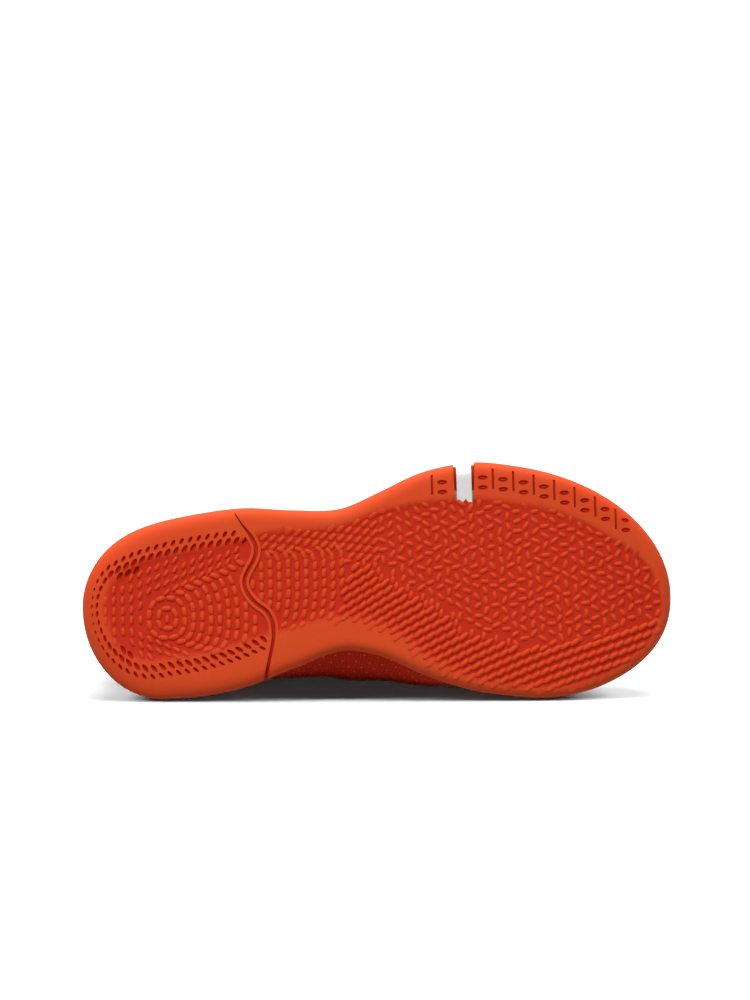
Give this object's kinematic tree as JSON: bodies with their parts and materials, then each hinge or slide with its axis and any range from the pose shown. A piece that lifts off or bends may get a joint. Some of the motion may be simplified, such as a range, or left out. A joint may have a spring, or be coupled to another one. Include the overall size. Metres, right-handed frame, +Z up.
{
  "type": "basketball shoe",
  "caption": "Low basketball shoe for the right foot, lying on its inner side: rubber cup sole with a curved flex groove and a flange slot, hollow textile upper, tongue, lace, footbed.",
  "frame": {"origin": "on the floor under the middle of the lying shoe's bounding box", "axes": "+X along the shoe from heel to toe, -Y out of the tread, +Z up from the floor it lies on"},
  "size_m": [0.298, 0.1222, 0.117],
  "materials": {
    "rubber": "matt moulded rubber, orange red",
    "foam": "white moulded foam",
    "footbed": "brushed textile over foam",
    "knit": "dense orange red textile",
    "padding": "padded orange red textile",
    "cord": "flat woven lace, orange red"
  },
  "bodies": {
    "root": {"outsole": "rubber", "midsole": "foam", "insole": "footbed", "upper": "knit", "tongue": "padding", "lace": "cord"}
  },
  "joints": []
}
